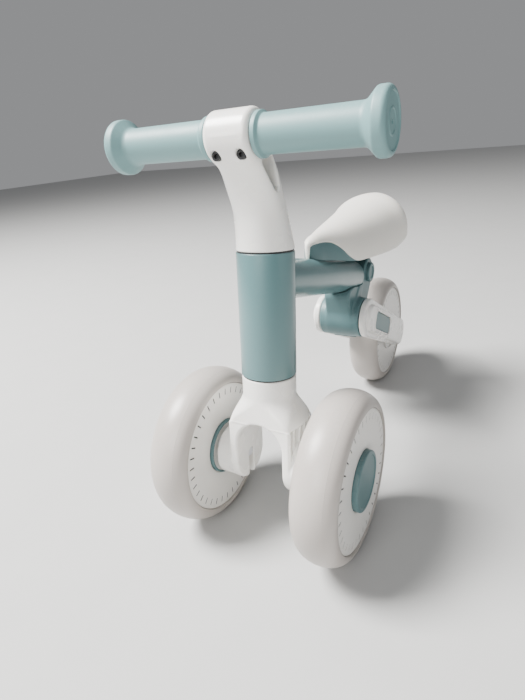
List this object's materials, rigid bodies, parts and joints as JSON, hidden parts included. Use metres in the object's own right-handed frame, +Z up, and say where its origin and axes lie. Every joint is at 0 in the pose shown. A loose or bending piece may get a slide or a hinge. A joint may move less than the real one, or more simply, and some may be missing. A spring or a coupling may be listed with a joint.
{
  "type": "toddler balance bike",
  "caption": "Small ride-on balance bike: paired front wheels under a raked head tube, a round-ended seat and one rear wheel on a folding fork.",
  "frame": {"origin": "on the floor, midway between the front and rear axle lines, in the bike's plane of symmetry", "axes": "+Z up, the bike faces -Y, +X towards the rider's left hand. Names with left (-X) and right (+X) are as seen by someone facing the front of the bike"},
  "size_m": [0.2154, 0.482, 0.3662],
  "materials": {
    "teal_paint": "satin",
    "teal_plastic": "satin",
    "teal_grip": "matte",
    "white_plastic": "semi-gloss",
    "seat_cover": "satin",
    "tyre": "satin",
    "steel": "brushed",
    "black_nylon": "matte"
  },
  "bodies": {
    "frame": {"head_tube": "teal_paint", "headset_bush_upper": "black_nylon", "headset_bush_lower": "black_nylon", "steering_stop_pin": "steel", "main_tube": "teal_paint", "rear_bracket": "teal_plastic", "bracket_screws": "steel", "seat_bolt": "steel", "seat_bolt_caps": "teal_plastic", "seat_base": "teal_plastic", "seat_cover": "seat_cover", "seat_screws": "steel", "knuckle_bushes": "black_nylon"},
    "steering": {"fork": "white_plastic", "steerer_tube": "steel", "steerer_bolt": "steel", "steerer_nut": "steel", "stem": "white_plastic", "clamp_screws": "steel", "handlebar_tube": "steel", "grip_left": "teal_grip", "grip_right": "teal_grip", "axle_front_left": "steel", "axle_front_right": "steel", "wheel_spacers": "black_nylon"},
    "wheel_front_left": {"tyre_front_left": "tyre", "disc_outer_front_left": "white_plastic", "disc_inner_front_left": "white_plastic", "hub_cap_front_left": "teal_plastic", "hub_ring_front_left": "teal_plastic", "bearings_front_left": "steel"},
    "wheel_front_right": {"tyre_front_right": "tyre", "disc_outer_front_right": "white_plastic", "disc_inner_front_right": "white_plastic", "hub_cap_front_right": "teal_plastic", "hub_ring_front_right": "teal_plastic", "bearings_front_right": "steel"},
    "rear_fork": {"arm_left": "white_plastic", "arm_right": "white_plastic", "pivot_axle": "steel", "rear_axle": "steel", "rear_spacers": "black_nylon", "button_spring_left": "steel", "button_spring_right": "steel"},
    "button_left": {"release_button_left": "teal_plastic"},
    "button_right": {"release_button_right": "teal_plastic"},
    "wheel_rear": {"tyre_rear": "tyre", "disc_left_rear": "white_plastic", "disc_right_rear": "white_plastic", "bearings_rear": "steel"}
  },
  "joints": [
    {"name": "steering_turn", "type": "hinge", "parent": "frame", "child": "steering", "pos_m": [0, -0.166, 0.075], "axis": [0, 0.108, 0.9942], "range_deg": [-67.5, 67.5]},
    {"name": "front_left_spin", "type": "hinge", "parent": "steering", "child": "wheel_front_left", "pos_m": [-0.0683, -0.166, 0.075], "axis": [1, 0, 0], "continuous": true},
    {"name": "front_right_spin", "type": "hinge", "parent": "steering", "child": "wheel_front_right", "pos_m": [0.0683, -0.166, 0.075], "axis": [1, 0, 0], "continuous": true},
    {"name": "rear_fold", "type": "hinge", "parent": "frame", "child": "rear_fork", "pos_m": [0, 0.0338, 0.1428], "axis": [-1, 0, 0], "range_deg": [0, 72]},
    {"name": "rear_spin", "type": "hinge", "parent": "rear_fork", "child": "wheel_rear", "pos_m": [0, 0.166, 0.075], "axis": [1, 0, 0], "continuous": true},
    {"name": "release_left", "type": "slide", "parent": "rear_fork", "child": "button_left", "axis": [1, 0, 0], "range_m": [0, 0.0025], "stiffness_N_per_m": 600, "springref_m": -0.003, "deforming": ["button_spring_left"]},
    {"name": "release_right", "type": "slide", "parent": "rear_fork", "child": "button_right", "axis": [-1, 0, 0], "range_m": [0, 0.0025], "stiffness_N_per_m": 600, "springref_m": -0.003, "deforming": ["button_spring_right"]}
  ]
}
